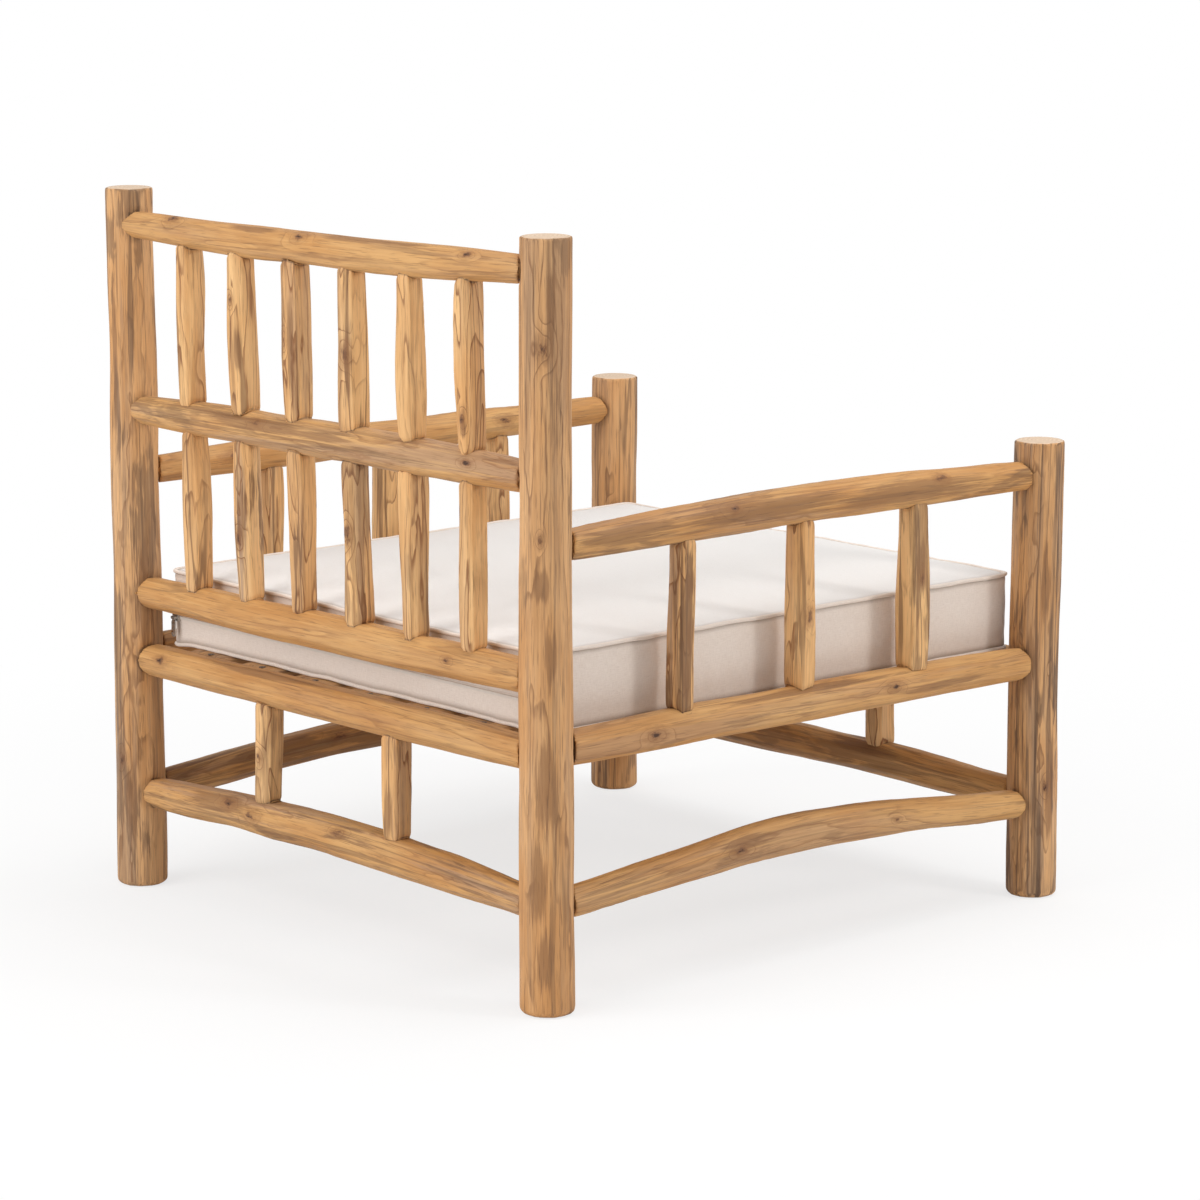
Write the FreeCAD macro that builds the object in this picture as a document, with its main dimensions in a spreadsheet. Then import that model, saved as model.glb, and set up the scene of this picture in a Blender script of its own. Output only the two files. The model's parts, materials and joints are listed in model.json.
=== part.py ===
import FreeCAD, Part
import math
import os
import Sketcher

# Lounge armchair of debarked teak branches: four posts, thirteen bent rails with saddle
# shoulders and round tenons, spindles between the rails, a slatted seat and a loose
# zipped box cushion. Millimetres; X to the sitter's left, Y to the back, Z up from the floor.

Vector = FreeCAD.Vector
doc = FreeCAD.newDocument("teak_armchair")
sheet = doc.addObject("Spreadsheet::Sheet", "Sizes")

SIZES = {
    # posts, from axis to axis, and the branch they are cut from
    "post_spacing_across": 714,
    "post_spacing_deep": 728,
    "rear_post_height": 800,
    "front_post_height": 522,
    "post_dia": 58,
    "rear_post_taper": 4,
    "front_post_taper": 1,
    "post_bow": 2,
    "post_top_ease": 1.5,
    "post_foot_ease": 4,
    # round tenons of the rails in the posts, and the saddle gap at each shoulder
    "tenon_dia": 20,
    "tenon_wall": 2,
    "tenon_fit": 0.2,
    "mortise_end_gap": 0.6,
    "shoulder_gap": 0.25,
    # hewn spindles with stub tenons
    "spindle_side": 27,
    "spindle_corner": 8,
    "spindle_swell": 2,
    "spindle_tenon_dia": 14,
    "spindle_tenon_length": 10,
    "back_spindle_spacing": 96,
    "back_spindle_shift": -4,
    "arm_spindle_side": 28,
    "arm_spindle_spacing": 172,
    "left_arm_spindle_shift": 1,
    "right_arm_spindle_shift": 8,
    "leg_spindle_spacing": 224,
    # slats let into the seat rails, each end held by a countersunk screw
    "slat_top": 283,
    "slat_thickness": 14,
    "slat_width": 74,
    "slat_spacing": 95,
    "slat_edge": 3,
    "slat_housing": 8,
    "slat_end_gap": 0.4,
    "slat_side_gap": 2,
    "screw_inset": 7,
    "screw_dia": 4,
    "screw_head_dia": 8,
    "screw_head_height": 2.4,
    "screw_length": 22,
    "screw_fit": 0.15,
    # box cushion: canvas cover with its wadding, foam inside, corded welts
    "cushion_side_gap": 5,
    "cushion_back_gap": 2.5,
    "cushion_front_inset": 8,
    "cushion_rest_gap": 0.3,
    "boxing_height": 85,
    "cushion_crown": 9.5,
    "boxing_bulge": 1.5,
    "cushion_corner": 12,
    "cover_thickness": 3.5,
    "foam_gap": 0.3,
    "welt_dia": 4.5,
    "welt_fit": 0.15,
    # zip in the rear boxing, with its slider and pull tab
    "zip_height": 31,
    "zip_overrun": 4,
    "zip_slot": 7,
    "zip_fit": 0.3,
    "zip_tape_thickness": 1.4,
    "zip_teeth_width": 3.2,
    "zip_teeth_height": 1.6,
    "slider_length": 11,
    "slider_width": 8,
    "slider_thickness": 3.2,
    "slider_pin_dia": 1.8,
    "slider_pin_reach": 2.4,
    "slider_cheek": 1.2,
    "pull_length": 22,
    "pull_width": 7,
    "pull_eye_width": 4,
    "pull_eye_dia": 4.2,
    "pull_thickness": 1.4,
    "pull_hole_dia": 3.2,
    "pull_fit": 0.3,
}

# Each rail is one branch: height of its ends, offset from the line of the post axes, largest
# diameter, how much thinner its ends are, bow at mid length, how sharply it bends (2 is an even
# curve, nearer 1 a kink) and how far it tilts up toward the left or the back.
RAIL_COLUMNS = ("height", "offset", "dia", "thinning", "bow", "bend", "tilt")
RAILS = {
    "back_top_rail": (763, 8, 38, 6, -5, 2, -3),
    "back_middle_rail": (552.5, 4, 41, 9, 2.5, 2, -1.5),
    "back_lower_rail": (345.5, 0, 42, 6, -1, 2, -2.8),
    "rear_seat_rail": (267, 0, 41, 5, 0, 2, -1.5),
    "rear_stretcher": (108.5, 0, 45, 12, 13, 1.7, -0.5),
    "front_seat_rail": (263.2, 0, 41, 5, 0, 2, 1),
    "front_stretcher": (108, 0, 43, 9, 7, 2, -2.5),
    "left_armrest": (479.5, 0, 40, 7, 2, 2, -1.5),
    "right_armrest": (482.5, 0, 42, 10, 7.5, 2, 0.5),
    "left_seat_rail": (271.5, 0, 41, 6, 1, 2, -0.5),
    "right_seat_rail": (272.5, 0, 42, 3.5, 1.5, 2, 1.6),
    "left_stretcher": (108, 0, 41, 7, 20, 1.5, 1),
    "right_stretcher": (109, 0, 41.5, 10, 23, 1.3, 1.3),
}

row = 0
for alias, value in SIZES.items():
    row += 1
    sheet.set(f"A{row}", alias)
    sheet.set(f"B{row}", str(value))
    sheet.setAlias(f"B{row}", alias)
for rail, values in RAILS.items():
    row += 1
    sheet.set(f"A{row}", rail)
    for letter, column, value in zip("BCDEFGH", RAIL_COLUMNS, values):
        sheet.set(f"{letter}{row}", str(value))
        sheet.setAlias(f"{letter}{row}", f"{rail}_{column}")
doc.recompute()

LEFT = "(Sizes.post_spacing_across / 2)"
RIGHT = "(-Sizes.post_spacing_across / 2)"
REAR = "(Sizes.post_spacing_deep / 2)"
FRONT = "(-Sizes.post_spacing_deep / 2)"
STATIONS = (-1, -0.5, 0, 0.5, 1)
nodes = []


def bind(item, name, formula):
    item.setExpression(name, str(formula))


def place(item, x, y, z):
    bind(item, "Placement.Base.x", x)
    bind(item, "Placement.Base.y", y)
    bind(item, "Placement.Base.z", z)


def new_sketch(body, name, role, x, y, z):
    plane = [face for face in body.Origin.OriginFeatures if face.Role == role][0]
    sketch = body.newObject("Sketcher::SketchObject", name)
    sketch.AttachmentSupport = [(plane, "")]
    sketch.MapMode = "FlatFace"
    bind(sketch, "AttachmentOffset.Base.x", x)
    bind(sketch, "AttachmentOffset.Base.y", y)
    bind(sketch, "AttachmentOffset.Base.z", z)
    return sketch


def named_constraint(sketch, name, constraint, formula):
    index = sketch.addConstraint(constraint)
    sketch.renameConstraint(index, name)
    bind(sketch, f"Constraints.{name}", formula)


def draw_circle(sketch, dia):
    sketch.addGeometry(Part.Circle(Vector(0, 0, 0), Vector(0, 0, 1), 10.0), False)
    sketch.addConstraint(Sketcher.Constraint("Coincident", 0, 3, -1, 1))
    named_constraint(sketch, "dia", Sketcher.Constraint("Diameter", 0, 20.0), dia)


def draw_rounded_rectangle(sketch, width, depth, corner):
    # four sides and four tangent corner arcs, centred on the sketch's origin
    flat, edge = 30.0, 40.0
    corners = [(flat, -flat), (flat, flat), (-flat, flat), (-flat, -flat)]
    sides = [((-flat, -edge), (flat, -edge)), ((edge, -flat), (edge, flat)),
             ((flat, edge), (-flat, edge)), ((-edge, flat), (-edge, -flat))]
    for start, end in sides:
        sketch.addGeometry(Part.LineSegment(Vector(*start, 0), Vector(*end, 0)), False)
    for turn, (x, y) in enumerate(corners):
        arc = Part.Circle(Vector(x, y, 0), Vector(0, 0, 1), edge - flat)
        first = math.radians(90 * turn - 90)
        sketch.addGeometry(Part.ArcOfCircle(arc, first, first + math.pi / 2), False)
    for side in range(4):
        sketch.addConstraint(Sketcher.Constraint("Tangent", side, 2, 4 + side, 1))
        sketch.addConstraint(Sketcher.Constraint("Tangent", 4 + side, 2, (side + 1) % 4, 1))
    for side in (0, 2):
        sketch.addConstraint(Sketcher.Constraint("Horizontal", side))
        sketch.addConstraint(Sketcher.Constraint("Vertical", side + 1))
    for arc in (5, 6, 7):
        sketch.addConstraint(Sketcher.Constraint("Equal", 4, arc))
    sketch.addConstraint(Sketcher.Constraint("Symmetric", 4, 3, 6, 3, -1, 1))
    named_constraint(sketch, "corner", Sketcher.Constraint("Radius", 4, edge - flat), corner)
    named_constraint(sketch, "width", Sketcher.Constraint("DistanceX", 3, 1, 1, 1, 2 * edge), width)
    named_constraint(sketch, "depth", Sketcher.Constraint("DistanceY", 0, 1, 2, 1, 2 * edge), depth)


def loft_through(body, name, sections):
    loft = body.newObject("PartDesign::AdditiveLoft", name)
    loft.Profile = sections[0]
    loft.Sections = sections[1:]
    return loft


def cylinder(name, radius, height, x, y, z, direction="z"):
    item = doc.addObject("Part::Cylinder", name)
    if direction == "x":
        item.Placement.Rotation = FreeCAD.Rotation(Vector(0, 1, 0), 90)
    if direction == "y":
        item.Placement.Rotation = FreeCAD.Rotation(Vector(1, 0, 0), -90)
    bind(item, "Radius", radius)
    bind(item, "Height", height)
    place(item, x, y, z)
    return item


def box(name, length, width, height, x, y, z):
    item = doc.addObject("Part::Box", name)
    bind(item, "Length", length)
    bind(item, "Width", width)
    bind(item, "Height", height)
    place(item, x, y, z)
    return item


def cut(name, base, tools):
    item = doc.addObject("Part::Cut", name)
    item.Base = base
    if len(tools) == 1:
        item.Tool = tools[0]
    else:
        group = doc.addObject("Part::Compound", name + "_tools")
        group.Links = tools
        item.Tool = group
    return item


def fuse(name, pieces):
    item = doc.addObject("Part::MultiFuse", name)
    item.Shapes = pieces
    return item


def keep(item, label):
    item.Label = label
    nodes.append(item)


# Posts: straight-grown branches with a little bow and taper. The sawn ends are eased by a groove.
# A second branch, wider by the shoulder gap, is the shape that the rails are saddled to.
POSTS = {
    "rear_left_post": (LEFT, REAR, "rear", 0.0, -0.5),
    "rear_right_post": (RIGHT, REAR, "rear", 1.0, 0.0),
    "front_left_post": (LEFT, FRONT, "front", -0.3, 0.7),
    "front_right_post": (RIGHT, FRONT, "front", 0.4, 0.8),
}
post_blanks = {}
post_saddles = {}
post_mortises = {}


def post_branch(name, x, y, end, lean_x, lean_y, extra):
    body = doc.addObject("PartDesign::Body", name)
    place(body, x, y, 0)
    sections = []
    for number, along in enumerate(STATIONS):
        arch = f"Sizes.post_bow * (1 - {along} ^ 2)"
        ring = new_sketch(body, f"{name}_ring_{number}", "XY_Plane", f"{lean_x} * {arch}", f"{lean_y} * {arch}",
                          f"Sizes.{end}_post_height * ({along} + 1) / 2")
        draw_circle(ring, f"Sizes.post_dia - Sizes.{end}_post_taper * ({along} + 1) / 2 + {extra}")
        # the branch's seam faces out of the chair, clear of the saddles
        if x == RIGHT:
            bind(ring, "AttachmentOffset.Rotation.Angle", 180)
        sections.append(ring)
    loft_through(body, name + "_loft", sections)
    return body


def ease_end(body, name, height, radius, ease):
    # triangular groove about the post axis: 'ease' wide on the sawn face, the same down the side
    sketch = new_sketch(body, name, "XZ_Plane", 0, 0, 0)
    points = [Vector(20, 10, 0), Vector(30, 10, 0), Vector(30, 20, 0)]
    for start, end in zip(points, points[1:] + points[:1]):
        sketch.addGeometry(Part.LineSegment(start, end), False)
    for side in range(3):
        sketch.addConstraint(Sketcher.Constraint("Coincident", side, 2, (side + 1) % 3, 1))
    sketch.addConstraint(Sketcher.Constraint("Horizontal", 0))
    sketch.addConstraint(Sketcher.Constraint("Vertical", 1))
    named_constraint(sketch, "inner", Sketcher.Constraint("DistanceX", -1, 1, 0, 1, 20), f"{radius} - abs({ease})")
    named_constraint(sketch, "outer", Sketcher.Constraint("DistanceX", -1, 1, 0, 2, 30), f"{radius} + abs({ease})")
    named_constraint(sketch, "level", Sketcher.Constraint("DistanceY", -1, 1, 0, 1, 10), height)
    named_constraint(sketch, "rise", Sketcher.Constraint("DistanceY", 1, 1, 1, 2, 10), f"2 * {ease}")
    groove = body.newObject("PartDesign::Groove", name + "_groove")
    groove.Profile = sketch
    groove.ReferenceAxis = (sketch, ["V_Axis"])
    groove.Angle = 360


for name, (x, y, end, lean_x, lean_y) in POSTS.items():
    blank = post_branch(name + "_blank", x, y, end, lean_x, lean_y, "0")
    ease_end(blank, name + "_foot", "0", "Sizes.post_dia / 2", "Sizes.post_foot_ease")
    top_radius = f"(Sizes.post_dia - Sizes.{end}_post_taper) / 2"
    ease_end(blank, name + "_top", f"Sizes.{end}_post_height", top_radius, "-Sizes.post_top_ease")
    post_blanks[name] = blank
    post_saddles[name] = post_branch(name + "_saddle", x, y, end, lean_x, lean_y, "2 * Sizes.shoulder_gap")
    post_mortises[name] = []

# Rails: bent, tapering branches from post to post. Every place on a rail follows from its row of sizes.
ACROSS = {
    "back_top_rail": REAR,
    "back_middle_rail": REAR,
    "back_lower_rail": REAR,
    "rear_seat_rail": REAR,
    "rear_stretcher": REAR,
    "front_seat_rail": FRONT,
    "front_stretcher": FRONT,
}
ALONG = {
    "left_armrest": LEFT,
    "right_armrest": RIGHT,
    "left_seat_rail": LEFT,
    "right_seat_rail": RIGHT,
    "left_stretcher": LEFT,
    "right_stretcher": RIGHT,
}


def rail_line(rail):
    # the rail's level line, on which its section centres rise and fall
    return f"({ {**ACROSS, **ALONG}[rail] } + Sizes.{rail}_offset)"


def rail_height(rail, share):
    # centre of the branch at a share of its half length, -1 at one post and 1 at the other
    rise = f"Sizes.{rail}_bow * (1 - abs({share}) ^ Sizes.{rail}_bend)"
    return f"(Sizes.{rail}_height + {rise} + Sizes.{rail}_tilt * ({share}))"


def rail_dia(rail, share):
    return f"(Sizes.{rail}_dia - Sizes.{rail}_thinning * ({share}) ^ 2)"


def rail_branch(rail, name, extra):
    body = doc.addObject("PartDesign::Body", name)
    sections = []
    for number, share in enumerate(STATIONS):
        ring_name = f"{name}_ring_{number}"
        height = rail_height(rail, share)
        if rail in ACROSS:
            ring = new_sketch(body, ring_name, "YZ_Plane", rail_line(rail), height, f"{LEFT} * ({share})")
        else:
            ring = new_sketch(body, ring_name, "XZ_Plane", rail_line(rail), height, f"{FRONT} * ({share})")
        draw_circle(ring, f"{rail_dia(rail, share)} + {extra}")
        sections.append(ring)
    loft_through(body, name + "_loft", sections)
    return body


rail_saddles = {}
rail_tools = {rail: [] for rail in RAILS}
for rail in RAILS:
    if rail not in ("left_stretcher", "right_stretcher"):
        rail_saddles[rail] = rail_branch(rail, rail + "_saddle", "2 * Sizes.shoulder_gap")

# Spindles: hewn staves with round-cornered square sections, coped over the rail below and above
# and held by stub tenons. The change of side is what each stave differs by.
TENON = "Sizes.spindle_tenon_length"


def spindle(name, foot, head, place_along, side, change):
    if foot in ACROSS:
        share = f"({place_along}) / {LEFT}"
        ends = [(f"({place_along})", rail_line(rail)) for rail in (foot, head)]
    else:
        share = f"({place_along}) / {REAR}"
        ends = [(rail_line(rail), f"({place_along})") for rail in (foot, head)]
    heights = [rail_height(rail, share) for rail in (foot, head)]
    body = doc.addObject("PartDesign::Body", name + "_blank")
    sections = []
    for number, share_up in enumerate((0, 0.5, 1)):
        middle = [f"{low} + ({high} - {low}) * {share_up}" for low, high in
                  ((ends[0][0], ends[1][0]), (ends[0][1], ends[1][1]), (heights[0], heights[1]))]
        ring = new_sketch(body, f"{name}_section_{number}", "XY_Plane", *middle)
        size = f"Sizes.{side} + {change} + Sizes.spindle_swell * {1 - (2 * share_up - 1) ** 2}"
        draw_rounded_rectangle(ring, size, size, "Sizes.spindle_corner")
        sections.append(ring)
    loft_through(body, name + "_loft", sections)
    coped = cut(name + "_coped", body, [rail_saddles[foot], rail_saddles[head]])
    pieces = [coped]
    for rail, (x, y), height, sign in ((foot, ends[0], heights[0], 1), (head, ends[1], heights[1], -1)):
        surface = f"({height} + {sign} * {rail_dia(rail, share)} / 2)"
        tag = "foot" if sign > 0 else "head"
        pieces.append(cylinder(f"{name}_{tag}_tenon", "Sizes.spindle_tenon_dia / 2", f"2 * {TENON}",
                               x, y, f"{surface} - {TENON}"))
        bottom = f"{surface} - {TENON} - Sizes.mortise_end_gap" if sign > 0 else f"{surface} - {TENON}"
        rail_tools[rail].append(cylinder(f"{name}_{tag}_mortise",
                                         "Sizes.spindle_tenon_dia / 2 + Sizes.tenon_fit",
                                         f"2 * {TENON} + Sizes.mortise_end_gap", x, y, bottom))
    keep(fuse(name, pieces), name)


UPPER_CHANGE = (0, 1, 0.5, 1, -1, 0)
LOWER_CHANGE = (0, -1, -0.5, 0, 0.5, -0.5)
for number in range(6):
    across = f"Sizes.back_spindle_spacing * {2.5 - number} + Sizes.back_spindle_shift"
    spindle(f"back_upper_spindle_{number + 1}", "back_middle_rail", "back_top_rail", across,
            "spindle_side", UPPER_CHANGE[number])
    spindle(f"back_lower_spindle_{number + 1}", "back_lower_rail", "back_middle_rail", across,
            "spindle_side", LOWER_CHANGE[number])
for hand, changes in (("left", (0, 0.5, -0.5)), ("right", (-1.5, 0, 2))):
    for number in range(3):
        deep = f"Sizes.arm_spindle_spacing * {1 - number} + Sizes.{hand}_arm_spindle_shift"
        spindle(f"{hand}_arm_spindle_{number + 1}", f"{hand}_seat_rail", f"{hand}_armrest", deep,
                "arm_spindle_side", changes[number])
for end in ("rear", "front"):
    for number, sign in enumerate((1, -1)):
        spindle(f"{end}_leg_spindle_{number + 1}", f"{end}_stretcher", f"{end}_seat_rail",
                f"{sign} * Sizes.leg_spindle_spacing / 2", "spindle_side", 0)

# Slats: planed boards with eased edges that lie in a rebate along the inner top of the front and
# rear seat rails, flush with the rails, one countersunk screw through each end.
SLAT_REAR = f"({rail_line('rear_seat_rail')} - Sizes.slat_housing)"
SLAT_FRONT = f"({rail_line('front_seat_rail')} + Sizes.slat_housing)"
SLAT_BOTTOM = "(Sizes.slat_top - Sizes.slat_thickness)"
HOUSING_WIDTH = "(5 * Sizes.slat_spacing + Sizes.slat_width + 2 * Sizes.slat_side_gap)"
rail_tools["rear_seat_rail"].append(box(
    "rear_housing", HOUSING_WIDTH, "Sizes.rear_seat_rail_dia", "2 * Sizes.slat_thickness",
    f"-{HOUSING_WIDTH} / 2", f"{SLAT_REAR} - Sizes.rear_seat_rail_dia", SLAT_BOTTOM))
rail_tools["front_seat_rail"].append(box(
    "front_housing", HOUSING_WIDTH, "Sizes.front_seat_rail_dia", "2 * Sizes.slat_thickness",
    f"-{HOUSING_WIDTH} / 2", SLAT_FRONT, SLAT_BOTTOM))
screws = []
SLAT_LENGTH = f"({SLAT_REAR} - {SLAT_FRONT} - 2 * Sizes.slat_end_gap)"
for number in range(6):
    name = f"seat_slat_{number + 1}"
    across = f"(Sizes.slat_spacing * {2.5 - number})"
    body = doc.addObject("PartDesign::Body", name + "_board")
    section = new_sketch(body, name + "_section", "XZ_Plane", across,
                         f"Sizes.slat_top - Sizes.slat_thickness / 2", f"-({SLAT_FRONT} + Sizes.slat_end_gap)")
    draw_rounded_rectangle(section, "Sizes.slat_width", "Sizes.slat_thickness", "Sizes.slat_edge")
    pad = body.newObject("PartDesign::Pad", name + "_pad")
    pad.Profile = section
    pad.Reversed = True
    bind(pad, "Length", SLAT_LENGTH)
    holes = []
    for rail, deep in (("rear_seat_rail", f"({SLAT_REAR} - Sizes.slat_end_gap - Sizes.screw_inset)"),
                       ("front_seat_rail", f"({SLAT_FRONT} + Sizes.slat_end_gap + Sizes.screw_inset)")):
        tag = f"{name}_{rail.split('_')[0]}"
        head_base = "(Sizes.slat_top - Sizes.screw_head_height)"
        tip = "(Sizes.slat_top - Sizes.screw_length)"
        for kind, fit in (("screw", "0"), ("hole", "Sizes.screw_fit")):
            head = doc.addObject("Part::Cone", f"{tag}_{kind}_head")
            bind(head, "Radius1", f"Sizes.screw_dia / 2 + {fit}")
            bind(head, "Radius2", f"Sizes.screw_head_dia / 2 + {fit}")
            bind(head, "Height", "Sizes.screw_head_height")
            place(head, across, deep, head_base)
            shank = cylinder(f"{tag}_{kind}_shank", f"Sizes.screw_dia / 2 + {fit}",
                             f"{head_base} - {tip} + {fit}", across, deep, f"{tip} - {fit}")
            whole = fuse(f"{tag}_{kind}", [head, shank])
            if kind == "screw":
                screws.append(whole)
            else:
                holes.append(whole)
                rail_tools[rail].append(shank)
    keep(cut(name, body, holes), name)
screw_set = doc.addObject("Part::Compound", "slat_screws")
screw_set.Links = screws
keep(screw_set, "slat_screws")

# The rails are finished last: saddled to the posts, bored for their spindles, then their own round
# tenons are added. Each tenon stops short of the tenon that crosses it in the same post.
TENON_TIP = "(Sizes.tenon_dia / 2 + Sizes.tenon_wall)"
POST_RADIUS = "(Sizes.post_dia / 2)"
for rail in RAILS:
    blank = rail_branch(rail, rail + "_blank", "0")
    line = rail_line(rail)
    tenons = []
    if rail in ACROSS:
        end = "rear" if ACROSS[rail] == REAR else "front"
        posts = ((f"{end}_left_post", LEFT, 1), (f"{end}_right_post", RIGHT, -1))
        direction = "x"
    else:
        hand = "left" if ALONG[rail] == LEFT else "right"
        posts = ((f"rear_{hand}_post", REAR, 1), (f"front_{hand}_post", FRONT, -1))
        direction = "y"
    for post, axis, sign in posts:
        height = rail_height(rail, sign)
        # from the tip, near the post's axis, to well inside the branch
        inner = f"({axis} - {sign} * {TENON_TIP})"
        reach = f"(2 * {POST_RADIUS} - {TENON_TIP})"
        start = inner if sign < 0 else f"({inner} - {reach})"
        bore_reach = f"({reach} + Sizes.mortise_end_gap)"
        bore_start = f"({inner} - Sizes.mortise_end_gap)" if sign < 0 else start
        spot = (start, line, height) if direction == "x" else (line, start, height)
        bore_spot = (bore_start, line, height) if direction == "x" else (line, bore_start, height)
        tag = f"{rail}_{post}"
        tenons.append(cylinder(tag + "_tenon", "Sizes.tenon_dia / 2", reach, *spot, direction))
        post_mortises[post].append(cylinder(tag + "_mortise", "Sizes.tenon_dia / 2 + Sizes.tenon_fit",
                                            bore_reach, *bore_spot, direction))
    shaped = cut(rail + "_shaped", blank, [post_saddles[post] for post, axis, sign in posts] + rail_tools[rail])
    keep(fuse(rail, [shaped] + tenons), rail)

for post, mortises in post_mortises.items():
    keep(cut(post, post_blanks[post], mortises), post)

# Cushion: a crowned box whose sides swell a little between the seams. The same form, drawn in by
# the cover's thickness, is the hollow of the cover, and a little smaller again the foam.
CUSHION_WIDTH = "(Sizes.post_spacing_across - Sizes.post_dia - 2 * Sizes.cushion_side_gap)"
CUSHION_REAR = f"({rail_line('back_lower_rail')} - Sizes.back_lower_rail_dia / 2 - Sizes.cushion_back_gap)"
CUSHION_FRONT = f"({FRONT} + Sizes.cushion_front_inset)"
CUSHION_DEPTH = f"({CUSHION_REAR} - {CUSHION_FRONT})"
CUSHION_MIDDLE = f"(({CUSHION_REAR} + {CUSHION_FRONT}) / 2)"
CUSHION_BOTTOM = "(Sizes.slat_top + Sizes.cushion_rest_gap)"
CUSHION_SEAM = f"({CUSHION_BOTTOM} + Sizes.boxing_height)"


def cushion_form(name, inset):
    body = doc.addObject("PartDesign::Body", name)
    low = f"({CUSHION_BOTTOM} + {inset})"
    high = f"({CUSHION_SEAM} - {inset})"

    def outline(tag, grow, share, height):
        sketch = new_sketch(body, f"{name}_{tag}", "XY_Plane", 0, CUSHION_MIDDLE, height)
        draw_rounded_rectangle(sketch, f"({CUSHION_WIDTH} + 2 * ({grow} - {inset})) * {share}",
                               f"({CUSHION_DEPTH} + 2 * ({grow} - {inset})) * {share}",
                               f"(Sizes.cushion_corner - {inset}) * {share}")
        return sketch

    loft_through(body, name + "_boxing", [
        outline("lower_seam", "0", 1, low),
        outline("middle", "Sizes.boxing_bulge", 1, f"({low} + {high}) / 2"),
        outline("upper_seam", "0", 1, high)])
    # the crown follows 1 - share squared, from the seam to a small flat at the top
    loft_through(body, name + "_crown", [
        outline(f"crown_{number}", "0", share, f"{high} + Sizes.cushion_crown * {1 - share ** 2}")
        for number, share in enumerate((1, 0.8, 0.5, 0.15))])
    return body


# Corded welts run round the boxing beside both seams, half sunk in the cover.
def welt(name, height, dia):
    body = doc.addObject("PartDesign::Body", name)
    path = new_sketch(body, name + "_path", "XY_Plane", 0, CUSHION_MIDDLE, height)
    draw_rounded_rectangle(path, CUSHION_WIDTH, CUSHION_DEPTH, "Sizes.cushion_corner")
    start = f"-{CUSHION_WIDTH} / 2 + Sizes.cushion_corner"
    cord = new_sketch(body, name + "_cord", "YZ_Plane", CUSHION_FRONT, height, start)
    draw_circle(cord, dia)
    pipe = body.newObject("PartDesign::AdditivePipe", name + "_pipe")
    pipe.Profile = cord
    pipe.Spine = (path, [])
    return body


WELT_LOW = f"({CUSHION_BOTTOM} + Sizes.welt_dia / 2)"
WELT_HIGH = f"({CUSHION_SEAM} - Sizes.welt_dia / 2)"
keep(welt("cushion_lower_welt", WELT_LOW, "Sizes.welt_dia"), "cushion_lower_welt")
keep(welt("cushion_upper_welt", WELT_HIGH, "Sizes.welt_dia"), "cushion_upper_welt")
groove_low = welt("lower_welt_groove", WELT_LOW, "Sizes.welt_dia + 2 * Sizes.welt_fit")
groove_high = welt("upper_welt_groove", WELT_HIGH, "Sizes.welt_dia + 2 * Sizes.welt_fit")

# Zip: a slot across the rear boxing, nearly corner to corner, closed by the tape and its teeth.
ZIP_HEIGHT = f"({CUSHION_BOTTOM} + Sizes.zip_height)"
ZIP_SWELL = "Sizes.boxing_bulge * (1 - (2 * Sizes.zip_height / Sizes.boxing_height - 1) ^ 2)"
ZIP_FACE = f"({CUSHION_REAR} + {ZIP_SWELL})"
ZIP_HALF = f"({CUSHION_WIDTH} / 2 - Sizes.cushion_corner + Sizes.zip_overrun)"
TAPE_FACE = f"({ZIP_FACE} - Sizes.zip_fit)"
cover_form = cushion_form("cushion_outside", "0")
hollow_form = cushion_form("cushion_hollow", "Sizes.cover_thickness")
slot = box("zip_slot_cut", f"2 * {ZIP_HALF}", "2 * Sizes.cover_thickness", "Sizes.zip_slot",
           f"-{ZIP_HALF}", f"{CUSHION_REAR} - 1.5 * Sizes.cover_thickness", f"{ZIP_HEIGHT} - Sizes.zip_slot / 2")
opening = fuse("cover_opening", [hollow_form, slot])
keep(cut("cushion_cover", cover_form, [opening, groove_low, groove_high]), "cushion_cover")
keep(cushion_form("cushion_foam", "(Sizes.cover_thickness + Sizes.foam_gap)"), "cushion_foam")
TAPE_WIDTH = "(Sizes.zip_slot - 2 * Sizes.zip_fit)"
TAPE_HALF = f"({ZIP_HALF} - Sizes.zip_fit)"
tape = box("zip_tape", f"2 * {TAPE_HALF}", "Sizes.zip_tape_thickness", TAPE_WIDTH,
           f"-{TAPE_HALF}", f"{TAPE_FACE} - Sizes.zip_tape_thickness", f"{ZIP_HEIGHT} - {TAPE_WIDTH} / 2")
teeth = box("zip_teeth", f"2 * {TAPE_HALF}", "Sizes.zip_tape_thickness + Sizes.zip_teeth_height",
            "Sizes.zip_teeth_width", f"-{TAPE_HALF}", f"{TAPE_FACE} - Sizes.zip_tape_thickness",
            f"{ZIP_HEIGHT} - Sizes.zip_teeth_width / 2")
keep(fuse("zip_chain", [tape, teeth]), "zip_chain")

# Slider: a plate that straddles the teeth, with two cheeks and a pin for the pull tab.
SLIDER_X = f"({ZIP_HALF} - Sizes.slider_length / 2)"
SLIDER_BACK = f"({ZIP_FACE} + Sizes.zip_fit)"
SLIDER_TOP = f"({SLIDER_BACK} + Sizes.slider_thickness)"
PIN_Y = f"({SLIDER_TOP} + Sizes.slider_pin_reach)"
CHEEK_INSIDE = "(Sizes.pull_eye_width / 2 + Sizes.pull_fit)"
CHEEK_SIDE = "(Sizes.slider_pin_dia + 1)"
plate = box("slider_plate", "Sizes.slider_length", "Sizes.slider_thickness", "Sizes.slider_width",
            f"{SLIDER_X} - Sizes.slider_length / 2", SLIDER_BACK, f"{ZIP_HEIGHT} - Sizes.slider_width / 2")
channel_width = "(Sizes.zip_teeth_width + 2 * Sizes.zip_fit)"
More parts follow.
